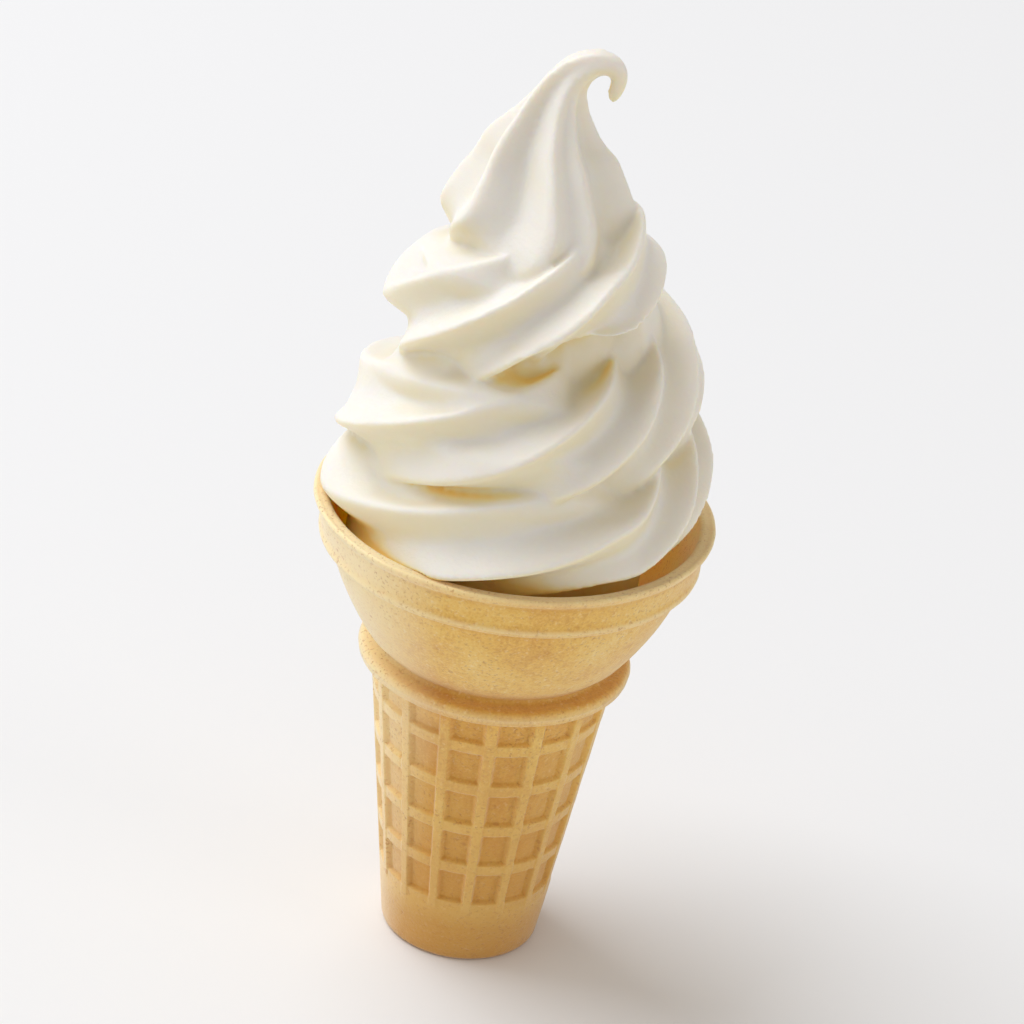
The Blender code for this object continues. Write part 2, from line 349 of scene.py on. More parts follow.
cream = {
    "milk": (0.85, 0.82, 0.765),
    "shade": (0.83, 0.77, 0.62),
    "warmShade": (0.85, 0.74, 0.43),
    "deep": (0.88, 0.62, 0.20),
    # painted shade colour for faces turned downward
    "underside": (0.82, 0.74, 0.50),
    "shadeStops": (0.07, 0.33, 0.45, 0.60),  # painted shade in hollows, amber where deepest: hidden share of the sky at the milk, shade, warm and deep colours
    # painted shade on faces turned down: upward part of the normal where it starts, and where it is full
    "undersideTilt": (0.35, -0.3),
    "undersideShadeShare": 0.8,
    "undersideFade": (0.20, 0.40),  # hidden share over which the painted underside shade gives way
    "icyCloud": (1000, 4, 0.6),
    "softCloud": (130, 2, 0.5),
    "icyShare": 0.35,
    "bump": 0.5,
    "bumpDepth": 0.6 * mm,
    "shader": {
        "Roughness": 0.42,
        "Specular IOR Level": 0.35,
        "Subsurface Weight": 0.75,
        "Subsurface Radius": (1.0, 0.78, 0.48),
        "Subsurface Scale": 2.0 * mm,
    },
}


def creamFinish():
    material, tree, shader = newMaterial("soft_serve_cream")
    maths, product = sums(tree)
    place = node(tree, "ShaderNodeTexCoord").outputs["Object"]
    shut = attribute(tree, "shut")
    shades = [cream[name] for name in ("milk", "shade", "warmShade", "deep")]
    # painted shade: the more sky a point's surroundings hide, the darker and warmer its colour, to amber
    # in the deepest crevices
    colour = ramp(tree, shut, list(zip(cream["shadeStops"], shades)))
    normal = node(tree, "ShaderNodeNewGeometry").outputs["Normal"]
    upward = node(tree, "ShaderNodeSeparateXYZ", (normal,)).outputs[2]
    # painted shade: faces turned downward take a warm beige
    below = rescale(tree, upward, *cream["undersideTilt"], 0.0, cream["undersideShadeShare"])
    below = product(below, rescale(tree, shut, *cream["undersideFade"], 1.0, 0.0))
    colour = blendColour(tree, below, colour, cream["underside"])
    wire(tree, colour, shader.inputs["Base Color"])
    setShader(shader, cream["shader"])
    icy = cloud(tree, place, cream["icyCloud"])
    soft = cloud(tree, place, cream["softCloud"])
    relief = maths("ADD", product(icy, cream["icyShare"]), soft)
    bump = node(tree, "ShaderNodeBump", {
        "Strength": cream["bump"], "Distance": cream["bumpDepth"], "Height": relief})
    wire(tree, bump.outputs[0], shader.inputs["Normal"])
    return material


waferMaterial = waferFinish()
creamMaterial = creamFinish()
print("finishes made")

# the ribbed wall of the wafer cup

wall = {
    "ribs": 16,
    "rows": 5,
    "firstRib": -86.0,        # azimuth of one rib in degrees
    "baseRadius": 15.5 * mm,
    "taper": 0.137,
    "firstCell": 14.3 * mm,
    "rowPitch": 9.88 * mm,
    "cellHeight": 7.9 * mm,
    "tileWidth": 7.9 * mm,    # rib pitch at the wall's middle height
    "ribHalf": 0.75 * mm,
    "slope": 0.90 * mm,
    "depth": 1.1 * mm,
    "corner": 0.7 * mm,
    "barDrop": 0.2 * mm,      # how far the level bars lie below the upright ribs
    "thickness": 2.6 * mm,
    "floor": 3.5 * mm,
    "bandFade": 1.2 * mm,     # height over which the plain band meets the first level bar
    "barStep": 0.45 * mm,     # width of the step where a level bar meets an upright rib
    "slopeLines": 6,          # grid lines on a sloping side
    "warp": 0.12 * mm,
    "warpScale": 90.0,
    "seed": 4.0,
    # foot of the wall, from the middle of the base outwards and up: height, depth
    "foot": [(0.0, -9.0 * mm), (0.0, -1.3 * mm), (0.06 * mm, -0.75 * mm), (0.25 * mm, -0.36 * mm),
             (0.6 * mm, -0.1 * mm), (1.2 * mm, 0.0), (4.0 * mm, 0.0), (8.0 * mm, 0.0)],
}


def tileStops(half, bar):
    # where the grid lines of a tile lie, close together on the sloping sides
    slope = wall["slope"]
    stops = [0.0, 0.5 * bar, bar - 0.1 * mm]
    stops += [bar + slope * k / wall["slopeLines"] for k in range(wall["slopeLines"] + 2)]
    stops += [bar + slope + (half - bar - slope) * 0.5]
    edges = [half - stop for stop in stops]
    return sorted([-edge for edge in edges] + [0.0] + edges)


def ease(value):
    value = min(max(value, 0.0), 1.0)
    return value * value * (3.0 - 2.0 * value)


def barDrop(x):
    # the level bars meet the upright ribs in a small step
    fromRib = wall["tileWidth"] / 2 - abs(x)
    return wall["barDrop"] * ease((fromRib - wall["ribHalf"]) / wall["barStep"])


def cellDepth(x, y):
    # depth of a tile at a place from its middle: a sunk cell with rounded corners and sloping sides
    halfX = wall["tileWidth"] / 2 - wall["ribHalf"]
    halfY = wall["cellHeight"] / 2
    corner = wall["corner"]
    outX, outY = abs(x) - halfX + corner, abs(y) - halfY + corner
    outside = math.hypot(max(outX, 0.0), max(outY, 0.0)) + min(max(outX, outY), 0.0) - corner
    sunk = ease(-outside / wall["slope"])
    return -wall["depth"] * sunk - barDrop(x) * (1.0 - sunk)


def sheet(name, columns, rows):
    # a flat grid: columns are x in pitches, rows are (y, depth function or depth)
    verts = []
    for y, depth in rows:
        for x in columns:
            verts.append((x / wall["tileWidth"], y, depth(x) if callable(depth) else depth))
    faces = []
    width = len(columns)
    for row in range(len(rows) - 1):
        for i in range(width - 1):
            a = row * width + i
            faces.append((a, a + 1, a + 1 + width, a + width))
    return newObject(name, meshFrom(name, verts, faces))


def wallTree():
    tree, given, result = newTree("waffleWall", {
        "Cell": "Object", "Band": "Object", "Lining": "Object", "Ribs": "Int", "Rows": "Int",
        "Row Pitch": "Float", "Cell Centre": "Float", "Base Radius": "Float", "Taper": "Float",
        "First Rib": "Float", "Cell Depth": "Float", "Warp": "Float", "Warp Scale": "Float",
        "Seed": "Float", "Finish": "Material"})
    maths, product = sums(tree)
    ribs, rows = given["Ribs"], given["Rows"]
    across = maths("SUBTRACT", ribs, 1.0)
    tall = product(maths("SUBTRACT", rows, 1.0), given["Row Pitch"])
    cells = node(tree, "GeometryNodeMeshGrid", (across, tall, ribs, rows)).outputs[0]
    middle = maths("ADD", product(tall, 0.5), given["Cell Centre"])
    halfAcross = product(across, 0.5)
    lift = node(tree, "ShaderNodeCombineXYZ", (halfAcross, middle, 0.0)).outputs[0]
    cells = node(tree, "GeometryNodeTransform", {"Geometry": cells, "Translation": lift}).outputs[0]
    gores = node(tree, "GeometryNodeMeshLine", {"Count": ribs, "Offset": (1.0, 0.0, 0.0)}).outputs[0]
    parts = []
    for points, label in ((cells, "Cell"), (gores, "Band"), (gores, "Lining")):
        shape = node(tree, "GeometryNodeObjectInfo", (given[label],)).outputs["Geometry"]
        placed = node(tree, "GeometryNodeInstanceOnPoints", {"Points": points, "Instance": shape})
        parts.append(placed.outputs[0])
    joined = node(tree, "GeometryNodeJoinGeometry")
    for part in reversed(parts):
        tree.links.new(part, joined.inputs[0])
    flat = node(tree, "GeometryNodeRealizeInstances", (joined.outputs[0],)).outputs[0]
    place = node(tree, "GeometryNodeInputPosition").outputs[0]
    x, y, depth = node(tree, "ShaderNodeSeparateXYZ", (place,)).outputs
    # how far into a cell a point lies, which the finish uses for the cells' painted shade
    sunk = rescale(tree, depth, 0.0, product(given["Cell Depth"], -1.0))
    flat = node(tree, "GeometryNodeStoreNamedAttribute", {"Geometry": flat, "Name": "sunk", "Value": sunk},
                data_type="FLOAT", domain="POINT").outputs[0]
    # the flat sheet is rolled up into the tapering wall
    turn = maths("DIVIDE", product(x, math.tau), ribs)
    turn = maths("ADD", turn, maths("RADIANS", given["First Rib"]))
    radius = maths("MULTIPLY_ADD", y, given["Taper"], given["Base Radius"])
    radius = maths("ADD", radius, depth)
    rolled = node(tree, "ShaderNodeCombineXYZ", (
        product(radius, maths("COSINE", turn)),
        product(radius, maths("SINE", turn)), y)).outputs[0]
    wrapped = node(tree, "GeometryNodeSetPosition", {"Geometry": flat, "Position": rolled}).outputs[0]
    wrapped = node(tree, "GeometryNodeMergeByDistance", {
        "Geometry": wrapped, "Distance": 0.01 * mm}).outputs[0]
    wobble = node(tree, "ShaderNodeTexNoise", noise_dimensions="4D", inputs={
        "W": given["Seed"], "Scale": given["Warp Scale"], "Detail": 3.0}).outputs["Color"]
    wobble = calcVector(tree, "SUBTRACT", wobble, (0.5, 0.5, 0.5))
    wobble = calcVector(tree, "SCALE", wobble, None, None, product(given["Warp"], 2.0))
    wobble = calcVector(tree, "MULTIPLY", wobble, (1.0, 1.0, 0.0))
    warped = node(tree, "GeometryNodeSetPosition", {"Geometry": wrapped, "Offset": wobble}).outputs[0]
    done = node(tree, "GeometryNodeSetMaterial", (warped, None, given["Finish"])).outputs[0]
    wire(tree, done, result)
    return tree


def waffleWall():
    half = wall["tileWidth"] / 2
    pitch = wall["rowPitch"]
    columns = tileStops(half, wall["ribHalf"])
    upright = tileStops(pitch / 2, (pitch - wall["cellHeight"]) / 2)
    cell = sheet("waffle_cell", columns, [(y, lambda x, y=y: cellDepth(x, y)) for y in upright])
    start = wall["firstCell"] + wall["cellHeight"] / 2 - pitch / 2
    top = start + wall["rows"] * pitch
    band = [(0.0, -wall["baseRadius"])] + wall["foot"]
    band += [(start - wall["bandFade"], 0.0), (start - wall["bandFade"] / 2, lambda x: -0.5 * barDrop(x)),
             (start, lambda x: -barDrop(x))]
    bandSheet = sheet("waffle_band", columns, band)
    inner = -wall["thickness"]
    floorReach = -(wall["baseRadius"] + wall["taper"] * wall["floor"])
    lining = [(top, lambda x: -barDrop(x)), (top, 0.5 * inner), (top, inner), (wall["floor"], inner),
              (wall["floor"], 0.5 * floorReach), (wall["floor"], floorReach)]
    liningSheet = sheet("waffle_lining", columns, lining)
    made = newObject("cone_wall", bpy.data.meshes.new("cone_wall"))
    applyTree(made, wallTree(), {
        "Cell": cell, "Band": bandSheet, "Lining": liningSheet, "Ribs": wall["ribs"], "Rows": wall["rows"],
        "Row Pitch": pitch, "Cell Centre": start + pitch / 2, "Base Radius": wall["baseRadius"],
        "Taper": wall["taper"], "First Rib": wall["firstRib"] + 180.0 / wall["ribs"],
        "Cell Depth": wall["depth"], "Warp": wall["warp"], "Warp Scale": wall["warpScale"],
        "Seed": wall["seed"], "Finish": waferMaterial})
    for tile in (cell, bandSheet, liningSheet):
        bpy.data.objects.remove(tile)
    return made


cup = {
    "columns": 288,
    "collar": 60.3,           # height of the collar's underside; all in mm from here to the shades
    # radius and height above the underside; the rounded edge is given by its middle and radius
    "collarFoot": [(22.3, -0.2), (24.4, 0.0), (25.5, 0.1)],
    "collarEdge": (25.4, 0.85, 0.75, (0.4, 0.9, 1.4)),
    "collarTop": [(26.22, 1.5), (26.3, 1.62), (26.2, 1.78), (26.1, 2.4), (25.8, 2.85), (25.3, 3.1),
                  (24.2, 3.2), (23.3, 3.3), (22.8, 3.55), (22.7, 4.0), (23.1, 4.6)],
    # height and radius of the bowl
    "bowl": [(67.2, 25.6), (70.0, 27.5), (74.0, 29.8), (77.0, 31.3), (80.0, 32.6), (83.0, 33.6),
             (85.3, 34.25)],
    "bowlRows": 25,
    # radius and drop below the top, up the outside of the rim: its bead, its groove and its lip
    "band": [(34.4, 8.98), (34.9, 8.87), (35.5, 8.78), (35.95, 8.6), (36.25, 8.25), (36.36, 7.8),
             (36.3, 7.4), (36.13, 7.0), (36.08, 6.6), (36.2, 5.7), (36.6, 4.0), (36.86, 2.9),
             (36.93, 2.4), (36.98, 2.1), (37.15, 1.8), (37.56, 1.45), (37.86, 1.0), (37.97, 0.62)],
    # inset from the rim's radius and drop below the top, over the lip
    "lip": [(0.02, 0.35), (0.16, 0.12), (0.4, 0.0), (0.75, 0.03), (0.95, 0.14), (1.3, 0.16), (1.9, 0.15),
            (2.45, 0.25), (2.8, 0.5), (3.0, 0.9), (3.2, 1.8)],
    # radius and drop below the top, down the inside
    "inside": [(34.1, 4.0), (32.9, 7.0), (31.6, 10.5), (29.9, 14.6), (26.5, 21.0), (22.6, 27.5),
               (21.6, 30.0), (21.3, 34.2)],
    # painted shade in the grooves and painted highlights on the bead, lip and collar edge: middle, half
    # width, strength
    "creaseShadeDrops": [(9.6, 1.4, 0.7), (2.3, 0.9, 0.9)],
    "highlightDrops": [(7.7, 0.9, 1.0), (0.0, 1.8, 1.0)],
    "collarHighlight": (1.5, 1.6, 0.7),
    "collarCreaseShade": (2.3, 3.2, 4.5, 9.0),  # painted shade in the collar's crease, heights above the underside: starts, full, fades, ends
    "insideFade": (2.2, 1.2),  # inset where the inside's painted glow starts, and its run
    "warp": 0.16 * mm,
    "broadNoise": 60.0,
    "fineNoise": 260.0,
    "fineShare": 0.35,
    "upShare": 0.3,           # of the push that goes into the height
    "noiseShift": (3.1, 0.7, 5.2),
}


def cupProfile():
    # radius and height round the collar, bowl and rim, and back down the inside, in mm
    collar, top, rim = cup["collar"], rimHeight / mm, rimRadius / mm
    edgeRadius, edgeHeight, bend, stops = cup["collarEdge"]
    rows = [(radius, collar + height) for radius, height in cup["collarFoot"]]
    for stop in stops:
        rows.append((edgeRadius + bend * math.sin(stop), collar + edgeHeight - bend * math.cos(stop)))
    rows += [(radius, collar + height) for radius, height in cup["collarTop"]]
    foot, brow = cup["bowl"][0][0], cup["bowl"][-1][0]
    for i in range(cup["bowlRows"]):
        height = foot + (brow - foot) * i / (cup["bowlRows"] - 1)
        rows.append((smoothRows(cup["bowl"], height)[0], height))
    rows += [(radius, top - drop) for radius, drop in cup["band"]]
    rows += [(rim - inset, top - drop) for inset, drop in cup["lip"]]
    rows += [(radius, top - drop) for radius, drop in cup["inside"]]
    return rows


def hump(value, middle, half, strength):
    return strength * ease(1.0 - abs(value - middle) / half)


def cupShades(radius, height, isInside):
    # painted shade in the creases, painted highlights where a ring stands out, and the inside's painted
    # glow: how far a ring of the cup is in a crease, stands out, and lies on the inside
    low, drop = height - cup["collar"], rimHeight / mm - height
    starts, full, fades, ends = cup["collarCreaseShade"]
    creaseShade = ease((low - starts) / (full - starts)) * ease((ends - low) / (ends - fades))
    inset, run = cup["insideFade"]
    inner = ease((rimRadius / mm - inset - radius) / run) if isInside else 0.0
    sunk = max([creaseShade] + [hump(drop, *shade) for shade in cup["creaseShadeDrops"]])
    raised = max([hump(low, *cup["collarHighlight"])] + [hump(drop, *shade) for shade in cup["highlightDrops"]])
    return sunk * (1.0 - inner), raised * (1.0 - inner), inner


def cupUpper():
    rows = cupProfile()
    count = cup["columns"]
    verts = []
    shades = {"sunk": [], "raised": [], "inner": []}
    lip = max(range(len(rows)), key=lambda k: rows[k][1])
    for k, (radius, height) in enumerate(rows):
        for name, value in zip(shades, cupShades(radius, height, k > lip)):
            shades[name] += [value] * count
        for i in range(count):
            azimuth = math.tau * i / count
            spot = Vector((radius * math.cos(azimuth), radius * math.sin(azimuth), height)) * mm
            push = noise.noise(spot * cup["broadNoise"] + Vector(cup["noiseShift"]))
            push += cup["fineShare"] * noise.noise(spot * cup["fineNoise"])
            push *= cup["warp"]
            reach = 1.0 + push / (radius * mm)
            verts.append(Vector((spot.x * reach, spot.y * reach, spot.z + cup["upShare"] * push)))
    mesh = meshFrom("cone_upper", verts, ringFaces(len(rows), count, closed=True))
    for name, values in shades.items():
        mesh.attributes.new(name, "FLOAT", "POINT").data.foreach_set("value", values)
    mesh.materials.append(waferMaterial)
    return newObject("cone_upper", mesh)


def joinPieces(name, pieces):
    shape = bmesh.new()
    for piece in pieces:
        shape.from_mesh(piece.data)
    mesh = bpy.data.meshes.new(name)
    bmesh.ops.recalc_face_normals(shape, faces=shape.faces)
    shape.to_mesh(mesh)
    shape.free()
    for piece in pieces:
        bpy.data.objects.remove(piece)
    return newObject(name, mesh)


waferPiece = joinPieces("wafer", [waffleWall(), cupUpper()])
waferPiece.data.materials.append(waferMaterial)
waferPiece.data.shade_smooth()
print("wafer made:", len(waferPiece.data.polygons), "faces")

# the soft serve

rope = {
    "ridges": 6,
    "groove": 0.22,
    "blunt": 0.07,            # rounding of a ridge, in shares of the way to the next
    "bluntDepth": 0.65,
    "halfWidth": 15.5,
    "halfHeight": 14.3,
    "around": 168,
    "step": 1.5,              # degrees round the winding between two sections
    "axisMargin": 1.0,
    "quickEnd": 9.0,          # how fast the inner half fills out at the rope's ends
    # angles round the rope, 0 outwards and 90 up, over which a groove is filled or a crest lowered:
    # starts, full, fades, ends
    "sideSpan": (-8, 8, 56, 70),
    "topSpan": (40, 54, 130, 170),
    "shelfSpan": (-85, -65, 0, 15),
    "hollowSpan": (84, 98),
    "hollowDepth": 0.3,
    "droopSpan": (-179, -100, -60, -5),
    # azimuth in degrees, radius and height above the rim in mm, ridge turn in degrees, thickness,
    # share of the outward reach, share of the underside's height, droop of the underside's ridges
    # in degrees, filled share of the groove above the outermost ridge (negative: of the one below
    # it), filled share of the top's groove (negative: how far the inner crest of the top is lowered)
    "winding": [
        (90, 21.0, -11.0, -340, 1.0, 1.0, 1.0, 0, 0, 0),
        (180, 21.7, -0.2, -300, 1.0, 1.0, 1.0, 0, 0.95, 0.7),
        (225, 22.0, 1.8, -272, 1.0, 1.0, 1.0, 0, 0.1, 0.6),
        (270, 23.5, 5.8, -247, 1.0, 1.0, 0.82, -3, 0, 0.55),
        (300, 22.9, 6.9, -220, 1.0, 1.0, 0.70, -6, 0, 0.2),
        (315, 22.6, 7.5, -204, 1.0, 1.0, 0.84, 0, 0, 0),
        (360, 21.0, 11.5, -117, 1.0, 1.0, 0.90, 0, 0, 0),
        (450, 20.0, 13.5, -6, 1.0, 1.0, 1.0, 0, 0, 0),
        (540, 21.0, 16.0, 46, 1.0, 1.0, 1.0, 0, 0.3, 0.4),
        (585, 20.5, 21.5, 74, 1.0, 1.0, 0.95, 0, 0, 0.8),
        (615, 20.2, 23.4, 105, 1.0, 1.0, 0.95, 0, -0.4, 1.0),
        (630, 20.0, 24.0, 125, 1.0, 1.0, 0.95, 0, -0.3, 0.5),
        (645, 19.4, 24.5, 150, 1.0, 1.0, 0.97, 0, -0.3, 0.2),
        (660, 18.6, 24.6, 177, 1.0, 1.0, 0.99, 0, -0.1, -0.8),
        (675, 18.0, 25.0, 204, 1.0, 1.0, 1.0, 0, 0, -1.0),
        (690, 17.6, 26.3, 232, 1.0, 1.0, 1.0, 0, 0, -0.7),
        (720, 17.5, 29.5, 284, 1.0, 1.0, 1.0, 0, 0, 0),
        (810, 15.5, 34.5, 342, 1.0, 1.0, 1.0, 0, 0, 0.3),
        (900, 14.0, 39.0, 361, 1.0, 1.0, 0.95, 0, 0.9, 0.9),
        (945, 16.5, 42.0, 412, 1.0, 1.0, 0.90, 10, 0, 0.8),
        (975, 15.7, 43.9, 454, 1.0, 1.0, 0.85, 8, 0, 0.2),
        (990, 15.0, 45.4, 476, 1.0, 1.0, 0.55, 3, 0, 0),
        (1005, 14.0, 46.6, 495, 1.0, 0.97, 0.12, 0, 0, 0),
        (1020, 14.2, 46.9, 518, 1.0, 0.86, 0.12, 0, 0, 0),
        (1035, 14.2, 47.3, 528, 1.0, 0.70, 0.30, 0, 0, 0),
        (1050, 13.4, 48.6, 539, 1.0, 0.66, 0.50, 0, 0, 0),
        (1080, 12.0, 51.0, 556, 0.95, 0.62, 0.90, 0, 0, 0),
        (1170, 2.0, 46.0, 600, 0.5, 0.60, 1.0, 0, 0, 0),
    ],
}

peak = {
    # row, sideways lean, forward lean, height above the rim, radius in mm, ridge turn in degrees,
    # strength of the ridges, rise of the front left side and bulge of the first ridge in mm
    "line": [
        (0, -1.5, 1.5, 44.0, 11.0, -24, 0.25, 5.5, 0.0),
        (1, -2.0, 2.6, 49.0, 16.8, -18, 0.35, 6.5, 0.8),
        (2, -2.1, 2.2, 55.0, 18.9, -7, 0.75, 4.5, 2.0),
        (3, -2.3, 1.5, 61.0, 18.0, 0, 1.05, 2.0, 1.6),
        (4, -2.7, 0.5, 67.0, 15.3, 0, 1.15, 0.5, 1.3),
        (5, -3.2, 0.0, 72.0, 12.4, 0, 1.15, 0.0, 0.5),
        (6, -3.1, 0.0, 76.5, 9.4, 0, 1.15, 0.0, -1.1),
        (7, -2.6, 0.0, 80.5, 7.0, 0, 1.1, 0.0, -1.8),
        (8, -1.4, 0.0, 84.2, 5.1, 0, 1.0, 0.0, -1.3),
        (9, 0.8, 0.0, 87.0, 3.7, 0, 0.8, 0.0, -0.5),
        (10, 3.8, 0.0, 88.5, 2.7, 0, 0.5, 0.0, 0.0),
        (11, 6.5, 0.0, 88.2, 2.1, 0, 0.3, 0.0, 0.0),
        (12, 7.9, 0.0, 86.2, 1.6, 0, 0.1, 0.0, 0.0),
        (13, 7.5, 0.0, 83.2, 1.3, 0, 0.0, 0.0, 0.0),
        (14, 7.1, 0.0, 81.8, 0.7, 0, 0.0, 0.0, 0.0),
    ],
    "ridges": [-104, -52, 8, 34, 88, 145, 202],
    "groove": 0.26,
    "blunt": 0.09,
    "bluntDepth": 0.65,
    "valley": 1.5,            # the higher, the flatter the middle of a groove
    "usualGap": 60.0,         # degrees between ridges at which a groove has its full depth
    "deepest": 1.2,
    "tiltToward": -0.95,      # angle in radians, from the front, of the side that rises
    "between": 22,            # points from one ridge to the next
    "steps": 8,
}

mass = {
    "voxel": 0.57 * mm,
    "soften": 4,
    "softenFactor": 0.5,
    "deepBelow": 9.0 * mm,    # below the rim nothing shows from here down
    "hiddenShare": 0.06,      # what is kept of the faces there
    "mouth": [(34.8, 1.8), (35.0, 0.9), (35.6, 0.0)],  # radius and drop of the cup's lip
    "clearance": 0.15 * mm,   # how far the swirl may press into the cup's wall
    # the filling, with heights above the rim and radii in mm
    "columns": 72,
    "levels": 31,
    "plugFoot": [(-24.0, 10.0), (-22.0, 20.0)],
    "plugTop": (-12.0, 28.0),
    "plugLean": (7.0, 4.5),   # how much higher and wider the plug's top is on one side
    "plugToward": 220.0,
    "fillTop": (55.0, 9.0, 3.0),  # height, radius, least rise over the last turn
    "fillReach": 5.5,
    "fillFrom": -5.0,
    "lastTurn": 1100.0,       # degrees along the winding
    "waistRise": 11.0,
    # along the winding, in degrees: how far the filling draws in beside and above the rope, in mm
    "drawn": [(985, 0), (998, 5), (1040, 5), (1055, 0)],
    "waist": [(190, 1), (215, -2), (230, -1), (240, 4), (264, 4), (280, 1), (540, 1), (560, -2.5),
              (598, -2.5), (607, 2), (625, 3), (645, 3), (652, 4.5), (672, 4.5), (695, 1)],
    "unevenness": 0.22 * mm,
    "unevenNoise": 95.0,
    "fadeIn": 3.0 * mm,       # height above the rim over which the unevenness grows
    "rays": 18,               # cast from each point to find what is hidden
    "rayStart": 0.15 * mm,
    "rayReach": 14.0 * mm,
    "farShare": 0.6,          # how much less a hit at the ray's end hides
    "shadeRounds": 4,
}


def sweepTree():
    tree, given, result = newTree("starRope", {
        "Ridges": "Int", "Groove": "Float", "Blunt": "Float", "Blunt Depth": "Float", "Around": "Int",
        "Finish": "Material"})
    maths, product = sums(tree)
    line = given["Geometry"]
    count = node(tree, "GeometryNodeAttributeDomainSize", (line,), component="MESH").outputs[0]
    wide = maths("ADD", given["Around"], 1.0)
    grid = node(tree, "GeometryNodeMeshGrid", (1.0, 1.0, wide, count)).outputs[0]
    # a point's place in the one metre grid tells its column and row
    spot = node(tree, "GeometryNodeInputPosition").outputs[0]
    x, y, _ = node(tree, "ShaderNodeSeparateXYZ", (spot,)).outputs
    last = maths("SUBTRACT", count, 1.0)
    column, row = (maths("ROUND", product(maths("ADD", value, 0.5), steps))
                   for value, steps in ((x, given["Around"]), (y, last)))

    def sample(field, kind):
        inputs = {"Geometry": line, "Value": field, "Index": row}
        return node(tree, "GeometryNodeSampleIndex", inputs, data_type=kind, domain="POINT").outputs[0]

    def along(name, kind="FLOAT"):
        field = node(tree, "GeometryNodeInputNamedAttribute", (name,), data_type=kind).outputs[0]
        return sample(field, kind)

    middle = sample(node(tree, "GeometryNodeInputPosition").outputs[0], "FLOAT_VECTOR")
    outward = along("outward", "FLOAT_VECTOR")
    turn, outer, inner, tall = along("turn"), along("outer"), along("inner"), along("tall")
    under, droop, side, top = along("under"), along("droop"), along("side"), along("top")
    bearing = maths("DIVIDE", product(column, 360.0), given["Around"])
    pitch = maths("DIVIDE", 360.0, given["Ridges"])
    share = maths("FRACT", maths("DIVIDE", bearing, pitch))
    # the star: straight sides between ridges, hollowed to grooves, with rounded ridges
    halfPitch = maths("RADIANS", product(pitch, 0.5))
    fromMiddle = maths("RADIANS", product(pitch, maths("SUBTRACT", share, 0.5)))
    flat = maths("DIVIDE", maths("COSINE", halfPitch), maths("COSINE", fromMiddle))
    sink = product(given["Groove"], maths("SINE", product(share, math.pi)))
    star = product(flat, maths("SUBTRACT", 1.0, sink))
    near = maths("MINIMUM", share, maths("SUBTRACT", 1.0, share))
    blunt = maths("MAXIMUM", maths("SUBTRACT", given["Blunt"], near), 0.0)
    blunt = maths("DIVIDE", product(blunt, blunt), given["Blunt"])
    star = maths("SUBTRACT", star, product(blunt, given["Blunt Depth"]))
    # where turns press on each other, grooves fill and crests sink
    angle = maths("WRAP", maths("ADD", bearing, turn), 180.0, -180.0)
    shelf = product(product(side, -1.0), window(tree, angle, rope["shelfSpan"]))
    side = product(side, window(tree, angle, rope["sideSpan"]))
    hollow = product(maths("MINIMUM", top, 0.0), rescale(tree, angle, *rope["hollowSpan"]))
    top = product(top, window(tree, angle, rope["topSpan"]))
    gain = maths("MAXIMUM", maths("MAXIMUM", side, top), shelf)
    star = maths("ADD", star, product(gain, maths("SUBTRACT", 1.0, star)))
    star = maths("ADD", star, product(hollow, rope["hollowDepth"]))
    drooped = product(droop, window(tree, angle, rope["droopSpan"]))
    turned = maths("RADIANS", maths("SUBTRACT", angle, drooped))
    across, up = maths("COSINE", turned), maths("SINE", turned)
    below = maths("LESS_THAN", up, 0.0)
    lowered = node(tree, "ShaderNodeMix", (below, None, 1.0, under), data_type="FLOAT").outputs[0]
    facing = maths("GREATER_THAN", across, 0.0)
    reach = node(tree, "ShaderNodeMix", (facing, None, inner, outer), data_type="FLOAT").outputs[0]
    out = product(product(star, across), reach)
    rise = product(product(star, up), product(tall, lowered))
    place = calcVector(tree, "ADD", calcVector(tree, "SCALE", outward, None, None, out), middle)
    high = node(tree, "ShaderNodeCombineXYZ", (0.0, 0.0, rise)).outputs[0]
    place = calcVector(tree, "ADD", place, high)
    swept = node(tree, "GeometryNodeSetPosition", {"Geometry": grid, "Position": place}).outputs[0]
    closed = node(tree, "GeometryNodeMergeByDistance", {
        "Geometry": swept, "Distance": 0.001 * mm}).outputs[0]
    real = node(tree, "GeometryNodeRealizeInstances", (closed,)).outputs[0]
    done = node(tree, "GeometryNodeSetMaterial", (real, None, given["Finish"])).outputs[0]
    wire(tree, done, result)
    return tree


